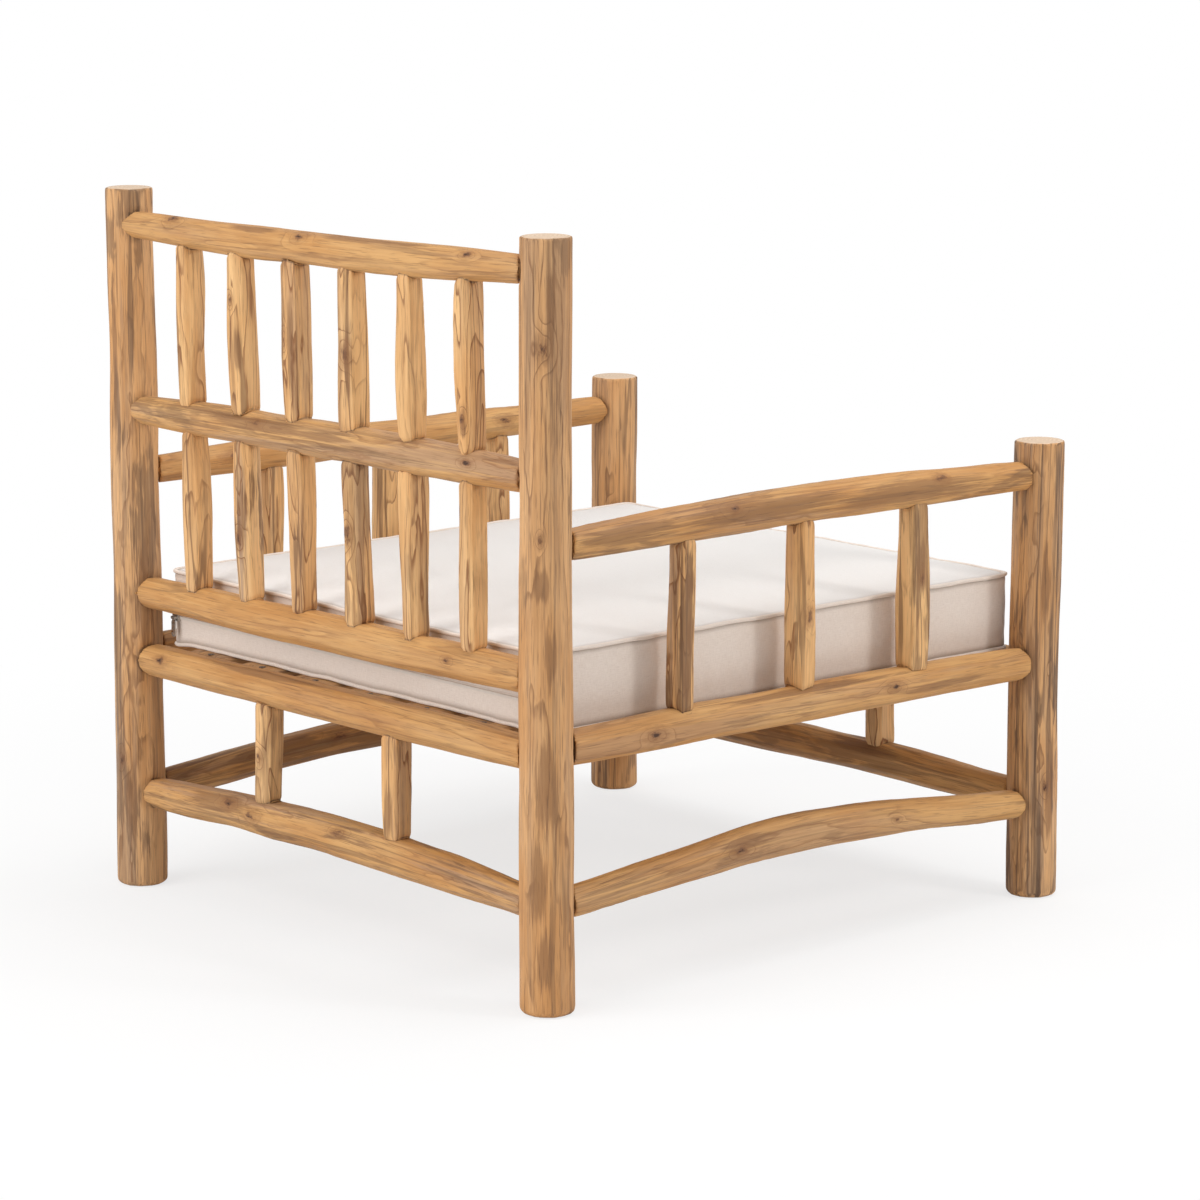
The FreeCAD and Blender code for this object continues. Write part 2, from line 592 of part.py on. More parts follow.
channel_depth = f"({TAPE_FACE} + Sizes.zip_teeth_height + Sizes.zip_fit - {SLIDER_BACK})"
channel = box("slider_channel", "2 * Sizes.slider_length", f"2 * {channel_depth}", channel_width,
              f"{SLIDER_X} - Sizes.slider_length", f"{SLIDER_BACK} - {channel_depth}",
              f"{ZIP_HEIGHT} - {channel_width} / 2")
slider_pieces = [cut("slider_base", plate, [channel])]
for tag, sign in (("left", 1), ("right", -1)):
    edge = CHEEK_INSIDE if sign > 0 else f"(-{CHEEK_INSIDE} - Sizes.slider_cheek)"
    slider_pieces.append(box(f"slider_{tag}_cheek", "Sizes.slider_cheek",
                             f"Sizes.slider_pin_reach + {CHEEK_SIDE} / 2 + Sizes.pull_fit", CHEEK_SIDE,
                             f"{SLIDER_X} + {edge}", f"{SLIDER_TOP} - Sizes.pull_fit",
                             f"{ZIP_HEIGHT} - {CHEEK_SIDE} / 2"))
slider_pieces.append(cylinder("slider_pin", "Sizes.slider_pin_dia / 2",
                              f"2 * ({CHEEK_INSIDE} + Sizes.slider_cheek / 2)",
                              f"{SLIDER_X} - {CHEEK_INSIDE} - Sizes.slider_cheek / 2", PIN_Y, ZIP_HEIGHT, "x"))
keep(fuse("zip_slider", slider_pieces), "zip_slider")

# Pull tab: a flat round-ended tongue with a hole, hung from the slider's pin by a rolled eye.
pull_body = doc.addObject("PartDesign::Body", "pull_tongue")
TONGUE_DROP = "(Sizes.pull_eye_dia / 2 + 2 * Sizes.pull_fit)"
TONGUE_LENGTH = f"(Sizes.pull_length - {TONGUE_DROP})"
TONGUE_MIDDLE = f"({ZIP_HEIGHT} - {TONGUE_DROP} - {TONGUE_LENGTH} / 2)"
tongue = new_sketch(pull_body, "pull_outline", "XZ_Plane", SLIDER_X, TONGUE_MIDDLE,
                    f"-({PIN_Y} + Sizes.pull_thickness / 2)")
draw_rounded_rectangle(tongue, "Sizes.pull_width", TONGUE_LENGTH, "Sizes.pull_width * 0.4")
tongue_pad = pull_body.newObject("PartDesign::Pad", "pull_pad")
tongue_pad.Profile = tongue
bind(tongue_pad, "Length", "Sizes.pull_thickness")
eye = cylinder("pull_eye", "Sizes.pull_eye_dia / 2", "Sizes.pull_eye_width",
               f"{SLIDER_X} - Sizes.pull_eye_width / 2", PIN_Y, ZIP_HEIGHT, "x")
neck = box("pull_neck", "Sizes.pull_eye_width", "Sizes.pull_thickness", "1.5 * Sizes.pull_eye_dia",
           f"{SLIDER_X} - Sizes.pull_eye_width / 2", f"{PIN_Y} - Sizes.pull_thickness / 2",
           f"{ZIP_HEIGHT} - 1.5 * Sizes.pull_eye_dia")
pull_solid = fuse("pull_solid", [pull_body, eye, neck])
bore = cylinder("pull_bore", "Sizes.slider_pin_dia / 2 + Sizes.pull_fit", "2 * Sizes.pull_eye_width",
                f"{SLIDER_X} - Sizes.pull_eye_width", PIN_Y, ZIP_HEIGHT, "x")
tip_hole = cylinder("pull_tip_hole", "Sizes.pull_hole_dia / 2", "4 * Sizes.pull_thickness",
                    SLIDER_X, f"{PIN_Y} - 2 * Sizes.pull_thickness",
                    f"{ZIP_HEIGHT} - Sizes.pull_length + Sizes.pull_width / 2", "y")
keep(cut("zip_pull", pull_solid, [bore, tip_hole]), "zip_pull")

doc.recompute()
for item in doc.Objects:
    if "Invalid" in item.State or "Error" in item.State:
        raise RuntimeError(f"{item.Label} failed to recompute: {item.State}")
for node in nodes:
    shape = node.Shape
    if shape.isNull() or not shape.isValid() or not shape.Solids:
        raise RuntimeError(f"{node.Label} has no valid shape")

os.makedirs("parts", exist_ok=True)
for node in nodes:
    node.Shape.exportStep(f"parts/{node.Label}.step")
print(len(nodes), "pieces,", sum(len(node.Shape.Solids) for node in nodes), "solids")
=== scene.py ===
import json
import math
import bpy
import numpy as np
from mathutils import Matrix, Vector
from mathutils.bvhtree import BVHTree

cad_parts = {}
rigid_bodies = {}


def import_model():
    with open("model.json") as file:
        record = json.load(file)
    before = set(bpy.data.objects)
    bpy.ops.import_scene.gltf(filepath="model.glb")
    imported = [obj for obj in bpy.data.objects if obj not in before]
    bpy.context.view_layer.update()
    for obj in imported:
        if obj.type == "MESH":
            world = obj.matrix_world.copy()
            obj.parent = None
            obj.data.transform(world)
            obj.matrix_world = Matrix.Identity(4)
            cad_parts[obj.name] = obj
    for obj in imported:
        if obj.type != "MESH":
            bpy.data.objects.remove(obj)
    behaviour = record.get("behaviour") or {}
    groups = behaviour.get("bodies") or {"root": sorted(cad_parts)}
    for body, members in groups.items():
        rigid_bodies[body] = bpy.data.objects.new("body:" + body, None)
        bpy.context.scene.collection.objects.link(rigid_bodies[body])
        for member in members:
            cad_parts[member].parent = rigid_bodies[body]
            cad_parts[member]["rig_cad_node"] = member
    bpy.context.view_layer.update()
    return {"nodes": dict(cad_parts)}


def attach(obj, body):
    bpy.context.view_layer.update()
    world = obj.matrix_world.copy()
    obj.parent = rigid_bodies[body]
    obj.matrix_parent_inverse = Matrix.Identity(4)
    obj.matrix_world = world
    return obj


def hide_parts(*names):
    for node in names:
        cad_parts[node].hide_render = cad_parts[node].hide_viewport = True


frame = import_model()


# Posts: four teak branches, stripped of bark and hewn with a drawknife, so that long shallow
# flats run down them. The ends are sawn square and lightly eased; the rails' round tenons sit in
# bored holes. The wood has weathered to a greyer brown than the rest.

def pick(piece):
    bpy.ops.object.select_all(action="DESELECT")
    piece.select_set(True)
    bpy.context.view_layer.objects.active = piece


def work(piece, kind, **settings):
    pick(piece)
    bpy.ops.object.modifier_add(type=kind)
    modifier = piece.modifiers[-1]
    for name, value in settings.items():
        setattr(modifier, name, value)
    bpy.ops.object.modifier_apply(modifier=modifier.name)


# a copy of a piece of the frame, with an even mesh of the given grid that can be hewn
def rough_copy(node_name, grid):
    merge_distance = 0.00001
    pick(frame["nodes"][node_name])
    bpy.ops.object.duplicate()
    piece = bpy.context.active_object
    bpy.ops.object.parent_clear(type="CLEAR_KEEP_TRANSFORM")
    del piece["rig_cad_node"]
    piece.name = "hewn_" + node_name
    piece.data.materials.clear()
    bpy.ops.object.mode_set(mode="EDIT")
    bpy.ops.mesh.select_all(action="SELECT")
    bpy.ops.mesh.remove_doubles(threshold=merge_distance)
    bpy.ops.object.mode_set(mode="OBJECT")
    work(piece, "REMESH", mode="VOXEL", voxel_size=grid)
    return piece


def points_of(piece):
    place = np.empty(len(piece.data.vertices) * 3)
    piece.data.vertices.foreach_get("co", place)
    return place.reshape(-1, 3)


def normals_of(piece):
    way = np.empty(len(piece.data.vertices) * 3)
    piece.data.vertex_normals.foreach_get("vector", way)
    return way.reshape(-1, 3)


def weigh(piece, name, weights):
    least = 0.004
    group = piece.vertex_groups.new(name=name)
    for index in np.nonzero(weights > least)[0]:
        group.add((int(index),), float(weights[index]), "REPLACE")
    return name


# a value on every point of the piece, which its material reads by name
def mark(piece, name, values):
    kind, field = ("FLOAT_VECTOR", "vector") if values.ndim == 2 else ("FLOAT", "value")
    layer = piece.data.attributes.new(name, kind, "POINT")
    layer.data.foreach_set(field, values.astype(np.float32).ravel())


# the branch's own middle line, found from the piece, and each point's place around it
def along_branch(piece, axis):
    slices = 24
    fewest = 8
    place = points_of(piece)
    a = "XYZ".index(axis)
    b, c = [k for k in range(3) if k != a]
    along = place[:, a]
    cuts = np.linspace(along.min(), along.max(), slices + 1)
    mids, middles = [], []
    for low, high in zip(cuts[:-1], cuts[1:]):
        ring = place[(along >= low) & (along <= high)][:, [b, c]]
        if len(ring) > fewest:
            mids.append((low + high) / 2)
            middles.append((ring.min(0) + ring.max(0)) / 2)
    middles = np.array(middles)
    line = [np.polyfit(mids, middles[:, k], 4) for k in (0, 1)]
    aside = place[:, [b, c]] - np.column_stack([np.polyval(k, along) for k in line])
    return along, aside


# each point's distance from a spot on the branch: along the grain, and round it from the turn
def off_spot(along, aside, spot, turn):
    around = np.arctan2(aside[:, 1], aside[:, 0])
    radius = np.hypot(aside[:, 0], aside[:, 1])
    off = (around - math.radians(turn) + math.pi) % (2 * math.pi) - math.pi
    return along - spot, off * radius


# how far each point lies from the nearest knot, in knot sizes; a knot is drawn out with the grain
def knot_places(along, aside, knots):
    farthest = 5.0
    drawn_out = 1.9
    far = np.full(len(along), farthest)
    for spot, turn, size in knots:
        down, across = off_spot(along, aside, spot, turn)
        far = np.minimum(far, np.hypot(down / size / drawn_out, across / size))
    return far


# brown stains that run with the grain, 1 in the middle of each and 0 away from them
def stain_places(along, aside, stains):
    deep = np.zeros(len(along))
    for spot, turn, length, width in stains:
        down, across = off_spot(along, aside, spot, turn)
        deep = np.maximum(deep, np.exp(-(down / length) ** 2 - (across / width) ** 2))
    return deep


# long flats left by the drawknife: each takes a little off one side, more here and less there
def flat_cuts(along, aside, seed, flats, depth):
    slices = 24
    radius = np.hypot(aside[:, 0], aside[:, 1])
    around = np.arctan2(aside[:, 1], aside[:, 0])
    length = along.max() - along.min()
    part = np.clip(((along - along.min()) / length * slices).astype(int), 0, slices - 1)
    middles = along.min() + (np.arange(slices) + 0.5) * length / slices
    chance = np.random.default_rng(int(seed * 100))
    taken = np.zeros(len(along))
    for k in range(flats):
        toward = 2 * math.pi * (k + chance.uniform(-0.25, 0.25)) / flats
        sway = 0.1 * np.sin(along / chance.uniform(0.03, 0.06) + chance.uniform(0, 6))
        wave = np.sin(along / chance.uniform(0.025, 0.06) + chance.uniform(0, 6))
        cut = depth * (0.6 + 0.4 * wave)
        out = radius * np.cos(around - toward - sway)
        furthest = np.full(slices, -1.0)
        np.maximum.at(furthest, part, out)
        taken = np.maximum(taken, out - np.interp(along, middles, furthest) + cut)
    return np.clip(taken / depth, 0, 1)


# how close each point lies to the pieces it is let into: 1 at their surface, 0 beyond reach
def closeness(piece, neighbours, reach):
    place = points_of(piece)
    close = np.zeros(len(place))
    for node_name in neighbours:
        other = frame["nodes"][node_name]
        corners = [other.matrix_world @ point.co for point in other.data.vertices]
        surface = BVHTree.FromPolygons(corners, [face.vertices for face in other.data.polygons])
        box = np.array(corners)
        inside = np.all((place > box.min(0) - reach) & (place < box.max(0) + reach), axis=1)
        for index in np.nonzero(inside)[0]:
            far = surface.find_nearest(Vector(place[index]), reach)[3]
            if far is not None:
                close[index] = max(close[index], 1 - far / reach)
    return close


# swells and hews a rough copy, eases it at its joints, raises its knots and marks its grain
def hew(piece, axis, seed, weather, flats, depth, swell_size, swell,
        neighbours=(), knots=(), stains=()):
    joint_reach = 0.005
    joint_easing = 0.0016
    knot_rise = 0.0012
    a = "XYZ".index(axis)
    sides = np.clip(1.5 * (1 - np.abs(normals_of(piece)[:, a])), 0, 1)
    side = weigh(piece, "side", sides)
    bpy.ops.object.empty_add(location=[seed * step for step in (1.37, 0.71, 2.11)])
    guide = bpy.context.active_object
    across_size, along_size = swell_size
    scale = [across_size] * 3
    scale[a] = along_size
    guide.scale = scale
    bpy.context.view_layer.update()
    pattern = bpy.data.textures.new("swell", "CLOUDS")
    pattern.noise_scale = 1.0
    work(piece, "DISPLACE", texture=pattern, texture_coords="OBJECT", texture_coords_object=guide,
         strength=swell, mid_level=0.5, vertex_group=side)
    bpy.data.objects.remove(guide)
    work(piece, "SMOOTH", factor=0.5, iterations=3)

    along, aside = along_branch(piece, axis)
    flat = weigh(piece, "flat", flat_cuts(along, aside, seed, flats, depth) * sides)
    work(piece, "DISPLACE", strength=-depth, mid_level=0.0, vertex_group=flat)
    work(piece, "SMOOTH", factor=0.15, iterations=1)
    tucked = closeness(piece, neighbours, joint_reach)
    if neighbours:
        eased = weigh(piece, "eased", tucked ** 2)
        work(piece, "DISPLACE", strength=-joint_easing, mid_level=0.0, vertex_group=eased)
    from_knot = knot_places(along, aside, knots)
    if knots:
        bump = weigh(piece, "knots", np.exp(-1.4 * from_knot ** 2) * sides)
        work(piece, "DISPLACE", strength=knot_rise, mid_level=0.0, vertex_group=bump)

    mark(piece, "grain", np.column_stack([aside, along]))
    mark(piece, "knot", from_knot)
    mark(piece, "sawn", np.where(tucked > 0, 0.0, np.abs(normals_of(piece)[:, a])))
    mark(piece, "tuck", tucked)
    mark(piece, "branch", np.full(len(along), seed))
    mark(piece, "weather", np.full(len(along), weather))
    mark(piece, "stain", stain_places(along, aside, stains))
    pick(piece)
    bpy.ops.object.shade_smooth()


# a material under way; a socket is fed by a number, a colour or another node's output
class Finish:
    def __init__(self, name):
        self.material = bpy.data.materials.new(name)
        self.material.use_nodes = True
        self.tree = self.material.node_tree
        self.shader = self.tree.nodes["Principled BSDF"]

    def feed(self, socket, value):
        if isinstance(value, bpy.types.NodeSocket):
            self.tree.links.new(value, socket)
        elif socket.type == "RGBA":
            socket.default_value = (*value, 1.0)
        else:
            socket.default_value = value

    # sockets are given by name, or as i and their number
    def node(self, kind, settings=None, **sockets):
        made = self.tree.nodes.new("ShaderNode" + kind)
        for key, value in (settings or {}).items():
            setattr(made, key, value)
        for key, value in sockets.items():
            numbered = key[0] == "i" and key[1:].isdigit()
            self.feed(made.inputs[int(key[1:]) if numbered else key], value)
        return made

    def reckon(self, operation, *values):
        sockets = {"i%d" % k: value for k, value in enumerate(values)}
        return self.node("Math", {"operation": operation}, **sockets).outputs[0]

    def vector(self, operation, *values):
        sockets = {"i%d" % k: value for k, value in enumerate(values)}
        return self.node("VectorMath", {"operation": operation}, **sockets)

    def ramp(self, value, low, high, start=0.0, end=1.0, kind="SMOOTHSTEP"):
        made = self.node("MapRange", {"interpolation_type": kind},
                         i0=value, i1=low, i2=high, i3=start, i4=end)
        return made.outputs[0]

    def mixed(self, share, under, over):
        return self.node("Mix", {"data_type": "RGBA"}, i0=share, i6=under, i7=over).outputs[2]

    def attribute(self, name, output="Fac"):
        return self.node("Attribute", {"attribute_name": name}).outputs[output]

    def show(self, socket, value):
        self.feed(self.shader.inputs[socket], value)

    def emboss(self, height, strength, distance):
        bump = self.node("Bump", None, Height=height, Strength=strength, Distance=distance)
        self.show("Normal", bump.outputs[0])


def teak(name, bright, pale, honey, brown, grey, dark, ring_gap, ring_share, vein_share, loop):
    stain_brown = (0.23, 0.11, 0.047)
    knot_red = (0.16, 0.066, 0.03)
    knot_black = (0.04, 0.017, 0.01)
    joint_shadow = (0.05, 0.026, 0.015)
    sawn_pale = (0.72, 0.55, 0.4)
    sawn_ring = (0.42, 0.27, 0.17)
    sawn_check = (0.3, 0.19, 0.12)
    sawn_fibre = (0.5, 0.36, 0.25)
    end_ring_gap = 0.0042

    wood = Finish(name)
    grain = wood.attribute("grain", "Vector")
    branch = wood.attribute("branch")
    knot = wood.attribute("knot")
    stain = wood.attribute("stain")
    weather = wood.attribute("weather")

    # noise drawn out along the grain, different on each branch
    def figure(stretch, scale, detail=2.0, rough=0.5, warp=0.0):
        drawn = wood.vector("MULTIPLY", grain, (1.0, 1.0, stretch)).outputs[0]
        made = wood.node("TexNoise", {"noise_dimensions": "4D"}, Vector=drawn, W=branch, Scale=scale,
                         Detail=detail, Roughness=rough, Distortion=warp)
        return made.outputs["Fac"]

    # growth rings, cut at a slant by the hewn surface, so they show as long loops and islands,
    # feathered by the fibres and bent round the knots
    across = wood.vector("MULTIPLY", grain, (1.0, 1.0, 0.0)).outputs[0]
    radius = wood.vector("LENGTH", across).outputs["Value"]
    slant = wood.vector("DOT_PRODUCT", grain, (0.32, -0.24, 0.02)).outputs["Value"]
    fibre = figure(0.022, 330.0, 5.0, 0.7)
    wander = figure(loop, 25.0, 2.0, 0.45, 0.35)
    ripple = wood.reckon("MULTIPLY", figure(0.36, 58.0, 2.0, 0.5, 0.3), weather)
    lift = wood.ramp(knot, 3.2, 0.0, 0.0, 0.02)
    ring_place = wood.reckon("MULTIPLY_ADD", wander, 0.08, radius)
    ring_place = wood.reckon("ADD", ring_place, wood.reckon("ADD", lift, slant))
    ring_place = wood.reckon("MULTIPLY_ADD", ripple, 0.016, ring_place)
    ring_place = wood.reckon("MULTIPLY_ADD", fibre, 0.0016, ring_place)
    ring = wood.reckon("FRACT", wood.reckon("DIVIDE", ring_place, ring_gap))
    ring_edge = wood.ramp(ring, 1.0, 0.96)
    late = wood.reckon("MULTIPLY", wood.ramp(ring, 0.79, 0.95), ring_edge)
    early = wood.reckon("MULTIPLY", wood.ramp(ring, 0.05, 0.95), ring_edge)
    fading = wood.ramp(figure(0.07, 34.0), 0.38, 0.56, 0.15, 1.0)
    ring_line = wood.reckon("MULTIPLY", wood.reckon("MULTIPLY_ADD", early, 0.25, late), fading)

    # dark veins, tone along the branch, grey of the weather and open pores
    vein_field = wood.reckon("MULTIPLY_ADD", fibre, 0.02, figure(0.035, 42.0, 2.5, 0.5, 0.25))
    vein_field = wood.reckon("ABSOLUTE", wood.reckon("SUBTRACT", vein_field, 0.52))
    vein_patch = wood.ramp(figure(0.1, 20.0), 0.46, 0.58)
    vein = wood.reckon("MULTIPLY", wood.ramp(vein_field, 0.021, 0.008), vein_patch)
    tone = figure(0.3, 17.0, 3.0, 0.6)
    shade_field = wood.reckon("MULTIPLY_ADD", fibre, 0.35, figure(0.06, 34.0, 4.0, 0.6, 0.3))
    shade = wood.ramp(shade_field, 0.63, 0.8)
    streak = wood.ramp(figure(0.017, 120.0, 4.0, 0.6, 0.3), 0.555, 0.62)
    pore = wood.ramp(figure(0.035, 950.0, 1.0), 0.58, 0.7)
    blotch_field = wood.reckon("MULTIPLY_ADD", fibre, 0.25, figure(0.2, 24.0, 4.0, 0.62, 0.5))
    blotch = wood.ramp(wood.reckon("MULTIPLY_ADD", weather, 0.07, blotch_field), 0.725, 0.775)
    stain_edge = wood.reckon("SUBTRACT", stain, 1.25)
    stain_field = wood.reckon("MULTIPLY_ADD", figure(0.03, 210.0, 5.0, 0.7, 0.4), 2.2, stain_edge)
    stained = wood.ramp(stain_field, 0.2, 0.55, 0.0, 0.65)
    stained = wood.reckon("MULTIPLY", stained, wood.ramp(stain, 0.03, 0.4))

    colour = wood.mixed(wood.ramp(tone, 0.35, 0.65), honey, pale)
    colour = wood.mixed(wood.reckon("MULTIPLY", shade, weather), colour, grey)
    colour = wood.mixed(wood.reckon("MULTIPLY", ring_line, ring_share), colour, brown)
    streaked = wood.reckon("MULTIPLY", streak, wood.reckon("MULTIPLY", weather, 0.75))
    colour = wood.mixed(streaked, colour, dark)
    blotched = wood.reckon("MULTIPLY", blotch, wood.reckon("MULTIPLY", weather, 0.8))
    colour = wood.mixed(blotched, colour, dark)
    colour = wood.mixed(wood.ramp(fibre, 0.46, 0.7, 0.0, 0.26), colour, brown)
    colour = wood.mixed(wood.ramp(fibre, 0.5, 0.28, 0.0, 0.3), colour, bright)
    colour = wood.mixed(wood.reckon("MULTIPLY", vein, vein_share), colour, dark)
    colour = wood.mixed(stained, colour, stain_brown)
    colour = wood.mixed(wood.reckon("MULTIPLY", pore, 0.4), colour, dark)

    # knots: a small dark red heart with a black split, in a browner patch
    ragged_edge = wood.reckon("SUBTRACT", knot, 1.35)
    ragged = wood.reckon("MULTIPLY_ADD", figure(0.4, 210.0, 3.0, 0.65), 3.4, ragged_edge)
    heart = wood.ramp(ragged, 1.15, 0.7)
    core = wood.ramp(ragged, 0.62, 0.35)
    colour = wood.mixed(wood.reckon("MULTIPLY", wood.ramp(ragged, 2.6, 1.0), 0.45), colour, brown)
    colour = wood.mixed(wood.reckon("MULTIPLY", heart, 0.75), colour, knot_red)
    colour = wood.mixed(wood.reckon("MULTIPLY", core, 0.85), colour, knot_black)
    tucked = wood.ramp(wood.attribute("tuck"), 0.7, 1.0, 0.0, 0.75)
    colour = wood.mixed(tucked, colour, joint_shadow)

    # sawn ends: paler, with the rings as circles and fine checks from the heart outwards
    circle = wood.reckon("MULTIPLY_ADD", wander, 0.01, radius)
    circle = wood.reckon("FRACT", wood.reckon("DIVIDE", circle, end_ring_gap))
    circle = wood.reckon("MULTIPLY", wood.ramp(circle, 0.2, 0.9), wood.ramp(circle, 1.0, 0.92))
    ray = wood.vector("NORMALIZE", across).outputs[0]
    check = wood.node("TexNoise", {"noise_dimensions": "4D"}, Vector=ray, W=branch, Scale=9.0, Detail=2.0)
    end_colour = wood.mixed(wood.reckon("MULTIPLY", circle, 0.38), sawn_pale, sawn_ring)
    end_colour = wood.mixed(wood.ramp(check.outputs["Fac"], 0.62, 0.72, 0.0, 0.3), end_colour, sawn_check)
    end_colour = wood.mixed(wood.ramp(fibre, 0.4, 0.7, 0.0, 0.25), end_colour, sawn_fibre)
    colour = wood.mixed(wood.ramp(wood.attribute("sawn"), 0.72, 0.92), colour, end_colour)

    wood.show("Base Color", colour)
    knot_polish = wood.reckon("MULTIPLY_ADD", heart, -0.1, 0.42)
    wood.show("Roughness", wood.reckon("MULTIPLY_ADD", fibre, 0.22, knot_polish))
    wood.show("Specular IOR Level", 0.3)
    relief = wood.reckon("MULTIPLY_ADD", fibre, 0.5, wood.reckon("MULTIPLY", ring_line, 0.3))
    relief = wood.reckon("MULTIPLY_ADD", pore, -0.45, relief)
    relief = wood.reckon("MULTIPLY_ADD", core, -0.9, relief)
    wood.emboss(relief, 0.7, 0.0008)
    return wood.material


branch_grid = 0.0026
post_marks = {"flats": 11, "depth": 0.0017, "swell_size": (0.09, 0.3), "swell": 0.0026}
post_teak = teak("post_teak", bright=(0.78, 0.50, 0.26), pale=(0.68, 0.385, 0.175),
                 honey=(0.56, 0.275, 0.1), brown=(0.21, 0.096, 0.04), grey=(0.36, 0.23, 0.14),
                 dark=(0.115, 0.066, 0.04), ring_gap=0.0095, ring_share=0.55, vein_share=0.6, loop=0.08)

# each branch has its own seed and share of weather; a knot has its height, turn in degrees and
# size, and a stain its height, turn, half length and half width
for node_name, seed, weather, knots, stains in (
    ("rear_left_post", 3.1, 0.7,
     ((0.15, 95, 0.005),),
     ((0.33, 160, 0.06, 0.01), (0.62, 95, 0.09, 0.005), (0.1, 120, 0.05, 0.008))),
    # the three lowest stains make this post darker towards the bottom on its rear right side
    ("rear_right_post", 7.7, 0.5,
     ((0.690, 132, 0.006), (0.497, 128, 0.003)),
     ((0.73, 150, 0.05, 0.005), (0.45, 128, 0.02, 0.011), (0.375, 150, 0.035, 0.008),
      (0.24, 140, 0.06, 0.014), (0.14, 120, 0.05, 0.012), (0.06, 135, 0.04, 0.012))),
    ("front_left_post", 12.3, 0.6,
     ((0.36, 140, 0.004),),
     ((0.25, 150, 0.05, 0.006),)),
    ("front_right_post", 17.9, 0.95,
     ((0.13, 165, 0.0045),),
     ((0.36, 155, 0.05, 0.007), (0.27, 125, 0.045, 0.01), (0.12, 175, 0.06, 0.008),
      (0.235, 92, 0.02, 0.004))),
):
    post = rough_copy(node_name, branch_grid)
    end, hand = node_name.split("_")[:2]
    let_in = [end + "_seat_rail", end + "_stretcher"]
    let_in += [hand + "_armrest", hand + "_seat_rail", hand + "_stretcher"]
    if end == "rear":
        let_in += ["back_top_rail", "back_middle_rail", "back_lower_rail"]
    hew(post, "Z", seed, weather, neighbours=let_in, knots=knots, stains=stains, **post_marks)
    post.data.materials.append(post_teak)
    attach(post, "frame")
    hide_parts(node_name)


# Cross rails: the three rails of the back, the seat rails and stretchers at rear and front, each
# a thinner branch that tapers to its shoulders and is set into two posts with round tenons.
# They were barked and sanded, and stayed a lighter honey colour.

rail_marks = {"flats": 8, "depth": 0.0022, "swell_size": (0.07, 0.16)}
rail_swell = 0.003
stretcher_swell = 0.005
rail_teak = teak("rail_teak", bright=(0.78, 0.49, 0.22), pale=(0.63, 0.35, 0.132),
                 honey=(0.53, 0.255, 0.08), brown=(0.25, 0.105, 0.038), grey=(0.4, 0.26, 0.17),
                 dark=(0.15, 0.078, 0.04), ring_gap=0.0098, ring_share=0.38, vein_share=0.35, loop=0.07)

for node_name, seed, weather, swell, knots, stains in (
    ("back_top_rail", 21.3, 0.3, rail_swell,
     ((0.250, 60, 0.006), (0.020, 50, 0.006), (-0.258, 45, 0.004)),
     ((-0.09, 65, 0.12, 0.007), (0.1, 60, 0.05, 0.006))),
    ("back_middle_rail", 25.9, 0.6, rail_swell,
     ((0.100, 30, 0.005), (-0.255, 20, 0.004)),
     ((0.1, 28, 0.11, 0.011), (-0.02, 22, 0.05, 0.007))),
    ("back_lower_rail", 29.2, 0.15, rail_swell,
     ((-0.22, 10, 0.003),),
     ()),
    ("rear_seat_rail", 33.8, 0.2, rail_swell,
     ((0.29, 20, 0.005),),
     ((0.1, 62, 0.12, 0.006),)),
    ("rear_stretcher", 38.4, 0.7, stretcher_swell,
     ((0.165, 35, 0.006), (0.12, 10, 0.006), (-0.035, 30, 0.005)),
     ((0.18, 32, 0.06, 0.013),)),
    ("front_seat_rail", 41.6, 0.4, rail_swell,
     (),
     ((0.06, 200, 0.07, 0.008),)),
    ("front_stretcher", 45.1, 0.6, stretcher_swell,
     ((0.1, 40, 0.005),),
     ((-0.1, 40, 0.06, 0.008),)),
):
    rail = rough_copy(node_name, branch_grid)
    end = "front" if node_name.startswith("front") else "rear"
    posts = (end + "_left_post", end + "_right_post")
    hew(rail, "X", seed, weather, swell=swell, neighbours=posts, knots=knots, stains=stains, **rail_marks)
    rail.data.materials.append(rail_teak)
    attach(rail, "frame")
    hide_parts(node_name)


# Side rails: armrests, seat rails and the arched stretchers, front to back on both sides.
# They are the same barked branches as the cross rails, set into the posts with round tenons.

for node_name, seed, weather, swell, knots, stains in (
    ("left_armrest", 51.2, 0.3, rail_swell,
     ((0.237, 165, 0.006), (-0.172, 165, 0.006)),
     ()),
    # the three long stains make most of the outer side of this armrest darker
    ("right_armrest", 55.7, 0.65, rail_swell,
     ((0.12, 150, 0.004), (-0.19, 145, 0.005)),
     ((0.08, 165, 0.16, 0.016), (-0.14, 180, 0.14, 0.014), (0.26, 170, 0.08, 0.014))),
    ("left_seat_rail", 59.3, 0.4, rail_swell,
     ((0.1, 165, 0.005),),
     ()),
    ("right_seat_rail", 63.9, 0.4, rail_swell,
     ((0.230, 180, 0.006), (-0.12, 170, 0.005)),
     ((0.02, 125, 0.16, 0.006), (-0.2, 190, 0.07, 0.005))),
    ("left_stretcher", 67.4, 0.6, stretcher_swell,
     ((0.09, 160, 0.006),),
     ((-0.1, 150, 0.07, 0.009),)),
    ("right_stretcher", 72.8, 0.4, stretcher_swell,
     ((0.11, 170, 0.005), (-0.125, 175, 0.0025)),
     ((0.1, 150, 0.05, 0.008),)),
):
    rail = rough_copy(node_name, branch_grid)
    hand = node_name.split("_")[0]
    posts = ("front_%s_post" % hand, "rear_%s_post" % hand)
    hew(rail, "Y", seed, weather, swell=swell, neighbours=posts, knots=knots, stains=stains, **rail_marks)
    rail.data.materials.append(rail_teak)
    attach(rail, "frame")
    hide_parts(node_name)


# Spindles: short split pieces hewn roughly square with rounded corners, each with its own waver,
# with stub tenons in the rails above and below. Their shoulders reach a little into the rails.

